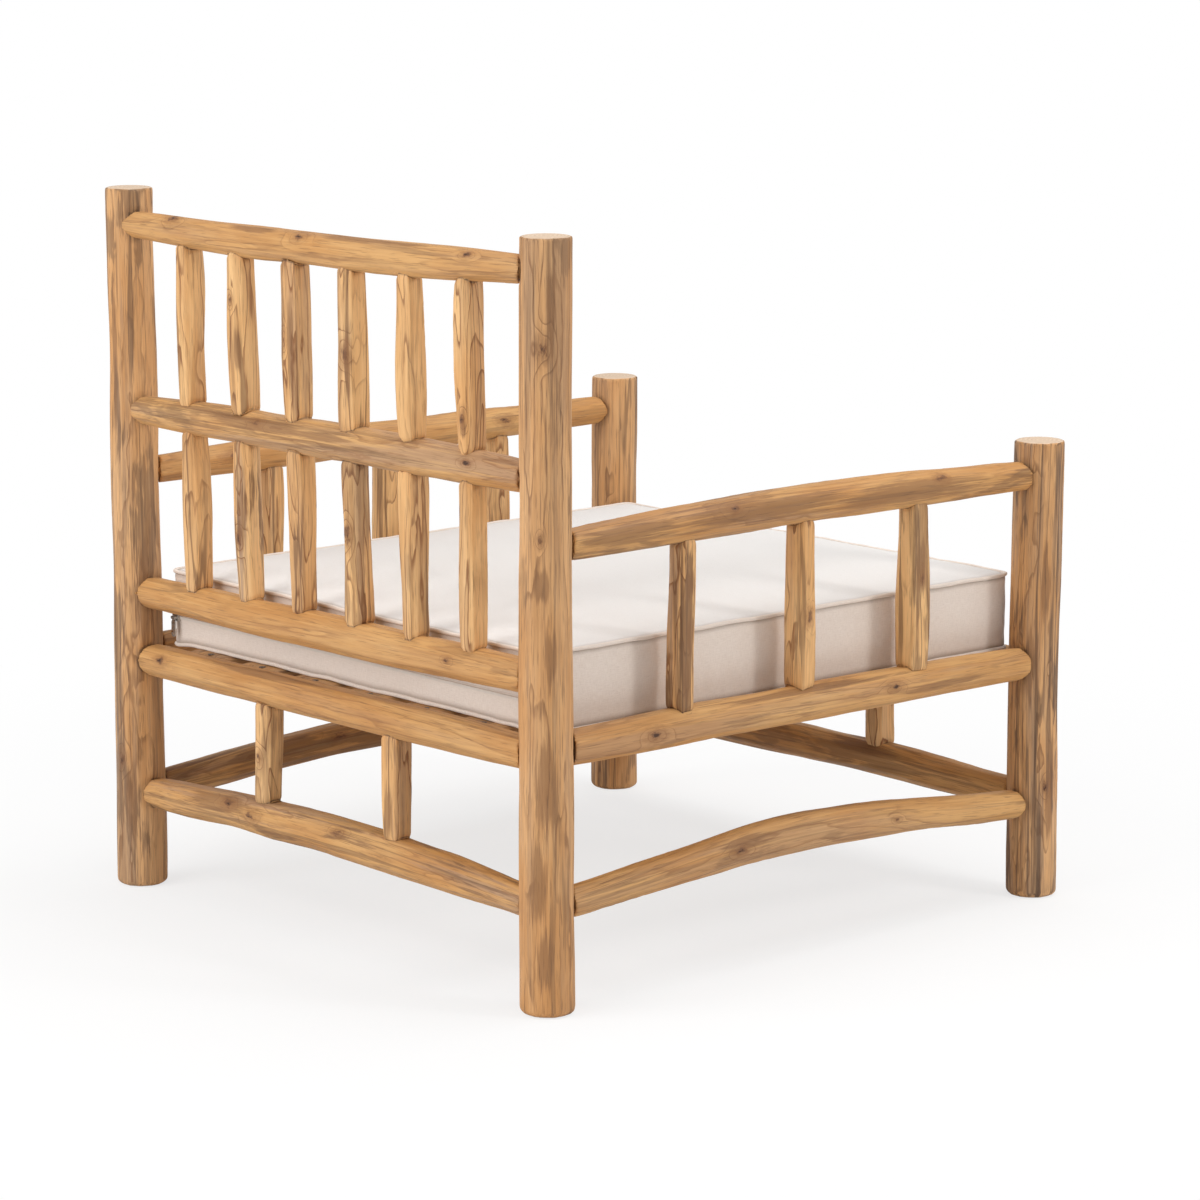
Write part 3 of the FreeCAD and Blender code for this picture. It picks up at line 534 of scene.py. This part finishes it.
spindle_grid = 0.0019
spindle_reach = 0.006
spindle_seed = 80.0
spindle_seed_step = 3.7
spindle_marks = {"flats": 6, "depth": 0.0032, "swell_size": (0.055, 0.14), "swell": 0.004}
spindle_teak = teak("spindle_teak", bright=(0.86, 0.575, 0.29), pale=(0.8, 0.49, 0.22),
                    honey=(0.69, 0.365, 0.138), brown=(0.26, 0.11, 0.04), grey=(0.42, 0.275, 0.175),
                    dark=(0.15, 0.075, 0.037), ring_gap=0.0078, ring_share=0.8, vein_share=0.65, loop=0.15)

spindles = []
for count, name, above, below in (
    (6, "back_upper_spindle", "back_top_rail", "back_middle_rail"),
    (6, "back_lower_spindle", "back_middle_rail", "back_lower_rail"),
    (3, "left_arm_spindle", "left_armrest", "left_seat_rail"),
    (3, "right_arm_spindle", "right_armrest", "right_seat_rail"),
    (2, "rear_leg_spindle", "rear_seat_rail", "rear_stretcher"),
    (2, "front_leg_spindle", "front_seat_rail", "front_stretcher"),
):
    spindles += [("%s_%d" % (name, k + 1), (above, below)) for k in range(count)]

# weather, knots and stains of the spindles that have marks of their own
plain_spindle = (0.3, (), ())
marked_spindles = {
    "back_upper_spindle_1": (0.3, (), ((0.63, 60, 0.07, 0.004),)),
    "back_upper_spindle_2": (0.2, ((0.693, 90, 0.003),), ((0.64, 120, 0.03, 0.005),)),
    "back_upper_spindle_3": (0.5, ((0.66, 70, 0.004),), ((0.65, 110, 0.06, 0.005),)),
    "back_upper_spindle_4": (0.4, ((0.655, 110, 0.006),), ((0.64, 120, 0.04, 0.005),)),
    "back_upper_spindle_6": (0.3, ((0.605, 100, 0.004),), ((0.597, 105, 0.012, 0.004),)),
    "back_lower_spindle_2": (1.0, ((0.43, 90, 0.005),), ((0.45, 110, 0.05, 0.007),)),
    "back_lower_spindle_4": (0.5, ((0.46, 90, 0.006),), ()),
    "right_arm_spindle_1": (0.9, (), ((0.425, 175, 0.02, 0.009), (0.37, 190, 0.026, 0.008),
                                      (0.325, 170, 0.03, 0.006))),
    "right_arm_spindle_2": (0.4, ((0.37, 180, 0.005),), ()),
    "right_arm_spindle_3": (0.6, ((0.39, 180, 0.005),), ((0.41, 175, 0.03, 0.009),)),
    "rear_leg_spindle_1": (0.4, ((0.19, 90, 0.004),), ()),
    "rear_leg_spindle_2": (0.6, (), ((0.17, 100, 0.04, 0.006),)),
}
for k, (node_name, rails) in enumerate(spindles):
    weather, knots, stains = marked_spindles.get(node_name, plain_spindle)
    spindle = rough_copy(node_name, spindle_grid)
    tall = points_of(spindle)[:, 2]
    pick(spindle)
    bpy.ops.transform.resize(value=(1.0, 1.0, 1.0 + spindle_reach / (tall.max() - tall.min())),
                             center_override=(0.0, 0.0, (tall.max() + tall.min()) / 2))
    bpy.ops.object.transform_apply(location=True, rotation=True, scale=True)
    seed = spindle_seed + spindle_seed_step * k
    hew(spindle, "Z", seed, weather, neighbours=rails, knots=knots, stains=stains, **spindle_marks)
    spindle.data.materials.append(spindle_teak)
    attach(spindle, "frame")
    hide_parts(node_name)


# Seat slats: six planed boards let into the front and rear seat rails, with a countersunk steel
# screw at each end. They show when the cushion is lifted.

slat_grid = 0.004
slat_weather = 0.5
slat_seed = 170.0
slat_seed_step = 4.3
slat_marks = {"flats": 4, "depth": 0.0004, "swell_size": (0.1, 0.2), "swell": 0.0006}
slat_teak = teak("slat_teak", bright=(0.7, 0.45, 0.22), pale=(0.6, 0.345, 0.15),
                 honey=(0.5, 0.255, 0.095), brown=(0.22, 0.095, 0.038), grey=(0.34, 0.235, 0.16),
                 dark=(0.13, 0.07, 0.038), ring_gap=0.009, ring_share=0.6, vein_share=0.35, loop=0.1)

for k in range(6):
    node_name = "seat_slat_%d" % (k + 1)
    slat = rough_copy(node_name, slat_grid)
    hew(slat, "Y", slat_seed + slat_seed_step * k, slat_weather, **slat_marks)
    slat.data.materials.append(slat_teak)
    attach(slat, "frame")
    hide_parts(node_name)


# Slat screws: countersunk steel screws, one through each slat end into the seat rail under it.
# They are driven flush from above, and have gone dull and brown in places.

def even(finish, value, low, high, start=0.0, end=1.0):
    return finish.ramp(value, low, high, start, end, "LINEAR")


def speckle(finish, place, scale, detail):
    return finish.node("TexNoise", None, Vector=place, Scale=scale, Detail=detail).outputs["Fac"]


# a piece that keeps its plain solid gets a finish only
def coat(node_name, finish):
    frame["nodes"][node_name].data.materials.clear()
    frame["nodes"][node_name].data.materials.append(finish.material)


steel = Finish("dull_steel")
screw_place = steel.node("TexCoord").outputs["Object"]
dulled = even(steel, speckle(steel, screw_place, 520.0, 4.0), 0.4, 0.65)
steel.show("Base Color", steel.mixed(dulled, (0.2, 0.18, 0.16), (0.09, 0.055, 0.035)))
steel.show("Roughness", even(steel, dulled, 0.0, 1.0, 0.45, 0.8))
steel.show("Metallic", 0.6)
steel.emboss(speckle(steel, screw_place, 2400.0, 2.0), 0.3, 0.0002)
coat("slat_screws", steel)


# Cushion: a canvas cover round a foam block, a top and a bottom panel sewn to a boxing strip and
# filled so that the top crowns and the boxing swells. The seams and the zip hold it in; it lies
# loose on the slats.

cushion_grid = 0.005
canvas_over_foam = 0.003
rear_wall = 0.3405
zip_line = 0.3143
zip_inset = 0.008
zip_hold = 0.007
seam_hold = 0.012
resting_height = 0.2875
resting_fade = 0.002
most_swelling = 0.011
filling_steps = 20
seam_reach = 0.02
seam_ridge = 0.0028
waver_size = 0.05
waver_place = (0.31, 0.07, 0.5)
seam_waver = 0.003
pinch_start = 0.72
pinch_fade = 0.2
corner_start = 0.28
corner_fade = 0.03
corner_reach = 0.03
corner_drop = 0.0035

cushion = rough_copy("cushion_foam", cushion_grid)
cushion.name = "canvas_cushion"
work(cushion, "DISPLACE", strength=canvas_over_foam, mid_level=0.0)
cushion_place = points_of(cushion)
up = cushion_place[:, 2]
welts = ("cushion_upper_welt", "cushion_lower_welt")
to_zip = np.where(cushion_place[:, 1] > rear_wall - zip_inset, np.abs(up - zip_line), 1.0)
held = np.maximum(closeness(cushion, welts, seam_hold), np.exp(-(to_zip / zip_hold) ** 2))
held = np.maximum(held, np.clip((resting_height - up) / resting_fade, 0, 1))
weigh(cushion, "held", held)
pick(cushion)
bpy.ops.object.modifier_add(type="CLOTH")
cloth = cushion.modifiers[-1]
cloth.settings.quality = 6
cloth.settings.mass = 0.3
cloth.settings.tension_stiffness = 20.0
cloth.settings.compression_stiffness = 20.0
cloth.settings.shear_stiffness = 8.0
cloth.settings.bending_stiffness = 1.5
cloth.settings.shrink_min = -0.014
cloth.settings.use_pressure = True
cloth.settings.uniform_pressure_force = 5.0
cloth.settings.effector_weights.gravity = 0.0
cloth.settings.vertex_group_mass = "held"
cloth.point_cache.frame_start = 1
cloth.point_cache.frame_end = filling_steps
for moment in range(1, filling_steps + 1):
    bpy.context.scene.frame_set(moment)
bpy.ops.object.modifier_apply(modifier=cloth.name)
bpy.context.scene.frame_set(1)
swelling = points_of(cushion) - cushion_place
share = min(1.0, most_swelling / np.linalg.norm(swelling, axis=1).max())
cushion.data.vertices.foreach_set("co", (cushion_place + swelling * share).ravel())
cushion.data.update()
work(cushion, "SUBSURF", levels=1, render_levels=1)

near_seam = closeness(cushion, welts, seam_reach)
ridge = weigh(cushion, "ridge", near_seam ** 3)
work(cushion, "DISPLACE", strength=seam_ridge, mid_level=0.0, vertex_group=ridge)
bpy.ops.object.empty_add(location=waver_place)
guide = bpy.context.active_object
guide.scale = (waver_size, waver_size, waver_size)
bpy.context.view_layer.update()
waver = bpy.data.textures.new("waver", "CLOUDS")
waver.noise_scale = 1.0
seam = weigh(cushion, "seam", near_seam)
work(cushion, "DISPLACE", texture=waver, texture_coords="OBJECT", texture_coords_object=guide,
     direction="Z", strength=seam_waver, mid_level=0.5, vertex_group=seam)


# the lower seam hangs a little beside the outer slats, where nothing holds it up
def sag(piece, reach):
    beside = np.clip((np.abs(points_of(piece)[:, 0]) - corner_start) / corner_fade, 0, 1)
    hang = weigh(piece, "hang", reach * beside)
    work(piece, "DISPLACE", direction="Z", strength=-corner_drop, mid_level=0.0, vertex_group=hang)


sag(cushion, closeness(cushion, welts[1:], corner_reach))
pick(cushion)
bpy.ops.object.shade_smooth()
# painted light: surfaces facing up get a share of a paler, more neutral colour, as if brightly lit from
# above
mark(cushion, "panel", np.clip(1.8 * normals_of(cushion)[:, 2] - 0.6, 0, 1))
# painted shade: the cover is darkened close to the welts, where the seams crease in
mark(cushion, "seam_shade", np.clip((near_seam - pinch_start) / pinch_fade, 0, 1))


def lay_weave(piece):
    pick(piece)
    bpy.ops.object.mode_set(mode="EDIT")
    bpy.ops.mesh.select_all(action="SELECT")
    bpy.ops.uv.cube_project(cube_size=1.0)
    bpy.ops.object.mode_set(mode="OBJECT")


lay_weave(cushion)
cotton_light = (0.88, 0.785, 0.705)
cotton_slub = (0.79, 0.69, 0.61)
cotton_soiled = (0.8, 0.7, 0.62)
painted_top_light = (0.81, 0.8, 0.79)
seed_fleck = (0.5, 0.42, 0.36)
stitch_shadow = (0.42, 0.33, 0.27)
# in radians to the metre, for threads 0.8 mm apart
thread_rate = 3900.0


def between(finish, share, under, over):
    return finish.node("Mix", {"data_type": "FLOAT"}, i0=share, i2=under, i3=over).outputs[0]


canvas = Finish("canvas")
weave_place = canvas.node("UVMap").outputs["UV"]
thread = canvas.node("SeparateXYZ", None, i0=weave_place)
warp = canvas.reckon("SINE", canvas.reckon("MULTIPLY", thread.outputs[0], thread_rate))
weft = canvas.reckon("SINE", canvas.reckon("MULTIPLY", thread.outputs[1], thread_rate))
over = canvas.reckon("GREATER_THAN", canvas.reckon("MULTIPLY", warp, weft), 0.0)
lie = between(canvas, over, canvas.reckon("ABSOLUTE", warp), canvas.reckon("ABSOLUTE", weft))
along_warp = canvas.vector("MULTIPLY", weave_place, (1.0, 0.1, 1.0)).outputs[0]
along_weft = canvas.vector("MULTIPLY", weave_place, (0.1, 1.0, 1.0)).outputs[0]
warp_slub = speckle(canvas, along_warp, 1200.0, 3.0)
weft_slub = speckle(canvas, along_weft, 1200.0, 3.0)
slub = even(canvas, canvas.reckon("ADD", warp_slub, weft_slub), 0.8, 1.25)
fleck = even(canvas, speckle(canvas, weave_place, 620.0, 2.0), 0.64, 0.76)
soil = even(canvas, speckle(canvas, weave_place, 7.0, 3.0), 0.35, 0.7, 0.0, 0.35)
cotton = canvas.mixed(slub, cotton_light, cotton_slub)
cotton = canvas.mixed(soil, cotton, cotton_soiled)
# painted light on the up-facing top, standing in for bright light from above
cotton = canvas.mixed(canvas.reckon("MULTIPLY", canvas.attribute("panel"), 0.8), cotton, painted_top_light)
cotton = canvas.mixed(canvas.reckon("MULTIPLY", fleck, 0.5), cotton, seed_fleck)
# painted shade along the seams
cotton = canvas.mixed(canvas.reckon("MULTIPLY", canvas.attribute("seam_shade"), 0.75), cotton, stitch_shadow)
canvas.show("Base Color", cotton)
canvas.show("Roughness", even(canvas, slub, 0.0, 1.0, 0.82, 0.96))
canvas.show("Specular IOR Level", 0.15)
canvas.show("Sheen Weight", 0.2)
canvas.emboss(canvas.reckon("MULTIPLY_ADD", slub, 0.6, lie), 0.45, 0.0004)
cushion.data.materials.append(canvas.material)
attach(cushion, "cushion")
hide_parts("cushion_cover", "cushion_foam")


# Welts: thin cords covered with strips of the same canvas, sewn into the upper and lower seam
# all the way round. They waver a little where the stitching pulls.

welt_grid = 0.0011
for node_name in welts:
    welt = rough_copy(node_name, welt_grid)
    welt.name = "canvas_" + node_name
    work(welt, "DISPLACE", texture=waver, texture_coords="OBJECT", texture_coords_object=guide,
         direction="Z", strength=seam_waver, mid_level=0.5)
    if node_name == "cushion_lower_welt":
        sag(welt, 1.0)
    pick(welt)
    bpy.ops.object.shade_smooth()
    lay_weave(welt)
    welt.data.materials.append(canvas.material)
    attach(welt, "cushion")
    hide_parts(node_name)
bpy.data.objects.remove(guide)


# Zip: a woven tape with nylon teeth in the rear boxing, with a nickel-plated slider and a flat
# pull that swings on the slider's bail.

teeth_half_width = 0.0018
teeth_edge = 0.0014
# in radians to the metre, for teeth 1.5 mm and ribs 0.7 mm apart
teeth_rate = 4200.0
rib_rate = 9000.0
tape = Finish("zip_tape")
tape_place = tape.node("TexCoord").outputs["Object"]
tooth = tape.node("SeparateXYZ", None, i0=tape_place)
row = tape.reckon("SINE", tape.reckon("MULTIPLY", tooth.outputs[0], teeth_rate))
from_line = tape.reckon("ABSOLUTE", tape.reckon("SUBTRACT", tooth.outputs[2], zip_line))
middle = even(tape, from_line, teeth_half_width, teeth_edge)
ribs = tape.reckon("SINE", tape.reckon("MULTIPLY", tooth.outputs[2], rib_rate))
worn = speckle(tape, tape_place, 160.0, 3.0)
woven = tape.mixed(worn, (0.88, 0.79, 0.71), (0.8, 0.7, 0.62))
nylon = tape.mixed(worn, (0.84, 0.77, 0.69), (0.72, 0.64, 0.57))
tape.show("Base Color", tape.mixed(middle, woven, nylon))
tape.show("Roughness", even(tape, middle, 0.0, 1.0, 0.9, 0.45))
tape.emboss(between(tape, middle, tape.reckon("MULTIPLY", ribs, 0.3), row), 0.6, 0.0004)
coat("zip_chain", tape)

nickel = Finish("nickel")
metal_place = nickel.node("TexCoord").outputs["Object"]
brushed = nickel.vector("MULTIPLY", metal_place, (3000.0, 3000.0, 150.0)).outputs[0]
tarnish = speckle(nickel, metal_place, 420.0, 4.0)
nickel.show("Base Color", nickel.mixed(tarnish, (0.62, 0.6, 0.57), (0.4, 0.37, 0.33)))
nickel.show("Roughness", even(nickel, tarnish, 0.3, 0.7, 0.2, 0.42))
nickel.show("Metallic", 1.0)
nickel.emboss(speckle(nickel, brushed, 1.0, 3.0), 0.15, 0.0001)
coat("zip_slider", nickel)
coat("zip_pull", nickel)


# Floor and light: a pale studio floor that turns to white paper away from the chair, even light
# from all round, a soft lamp overhead, a small one on the chair's right and a wide one behind it.

floor_radius = 14.0
floor_drop = 0.0005
room_strength = 0.56
backdrop_strength = 1.0
white = (1.0, 1.0, 1.0)
bpy.ops.object.select_all(action="DESELECT")
bpy.ops.mesh.primitive_circle_add(vertices=96, radius=floor_radius, fill_type="NGON",
                                  location=(0.0, 0.0, -floor_drop))
floor = bpy.context.active_object
floor.name = "floor"
paint = Finish("floor_paint")
paint.show("Base Color", (0.88, 0.88, 0.88))
paint.show("Roughness", 0.9)
paint.show("Specular IOR Level", 0.1)
from_chair = paint.vector("LENGTH", paint.node("TexCoord").outputs["Object"]).outputs["Value"]
fade = paint.ramp(from_chair, 0.3, 1.5, 0.7, 1.0)
seen = paint.node("LightPath").outputs["Is Camera Ray"]
paper = paint.node("Emission", None, Color=white, Strength=backdrop_strength)
both = paint.node("MixShader", None, i0=paint.reckon("MULTIPLY", fade, seen),
                  i1=paint.shader.outputs[0], i2=paper.outputs[0])
paint.feed(paint.tree.nodes["Material Output"].inputs["Surface"], both.outputs[0])
floor.data.materials.append(paint.material)

world = bpy.data.worlds.new("studio")
bpy.context.scene.world = world
world.use_nodes = True
sky = world.node_tree.nodes
links = world.node_tree.links
looked_at = sky.new("ShaderNodeLightPath")
room_light = sky["Background"]
room_light.inputs["Color"].default_value = (*white, 1.0)
room_light.inputs["Strength"].default_value = room_strength
backdrop = sky.new("ShaderNodeBackground")
backdrop.inputs["Color"].default_value = (*white, 1.0)
backdrop.inputs["Strength"].default_value = backdrop_strength
choice = sky.new("ShaderNodeMixShader")
links.new(looked_at.outputs["Is Camera Ray"], choice.inputs[0])
links.new(room_light.outputs[0], choice.inputs[1])
links.new(backdrop.outputs[0], choice.inputs[2])
links.new(choice.outputs[0], sky["World Output"].inputs["Surface"])

for name, spot, aim, size, power in (
    ("overhead_lamp", (-0.5, -0.5, 2.6), (0.0, 0.0, 0.3), 1.8, 30.0),
    ("right_lamp", (-2.7, -1.2, 1.6), (0.0, 0.0, 0.4), 0.5, 20.0),
    ("back_lamp", (0.6, 3.2, 1.9), (0.0, 0.0, 0.4), 2.6, 70.0),
):
    bpy.ops.object.light_add(type="AREA", location=spot)
    lamp = bpy.context.active_object
    lamp.name = name
    lamp.data.size = size
    lamp.data.energy = power
    lamp.rotation_euler = (Vector(aim) - Vector(spot)).to_track_quat("-Z", "Y").to_euler()


# Camera: a long lens as high as a standing person's chest, behind the chair and to its right,
# looking a little down, so that the back, the right arm and the cushion's rear show.

camera_place = (-3.54916, 3.11877, 1.23075)
camera_way = (0.73559523, -0.65129027, -0.18633475)
camera_lens = 127.44
camera_film = 36.0
bpy.ops.object.camera_add(location=camera_place)
camera = bpy.context.active_object
camera.rotation_euler = Vector(camera_way).to_track_quat("-Z", "Y").to_euler()
camera.data.lens = camera_lens
camera.data.sensor_width = camera_film
bpy.context.scene.camera = camera
bpy.context.scene.view_settings.view_transform = "Standard"
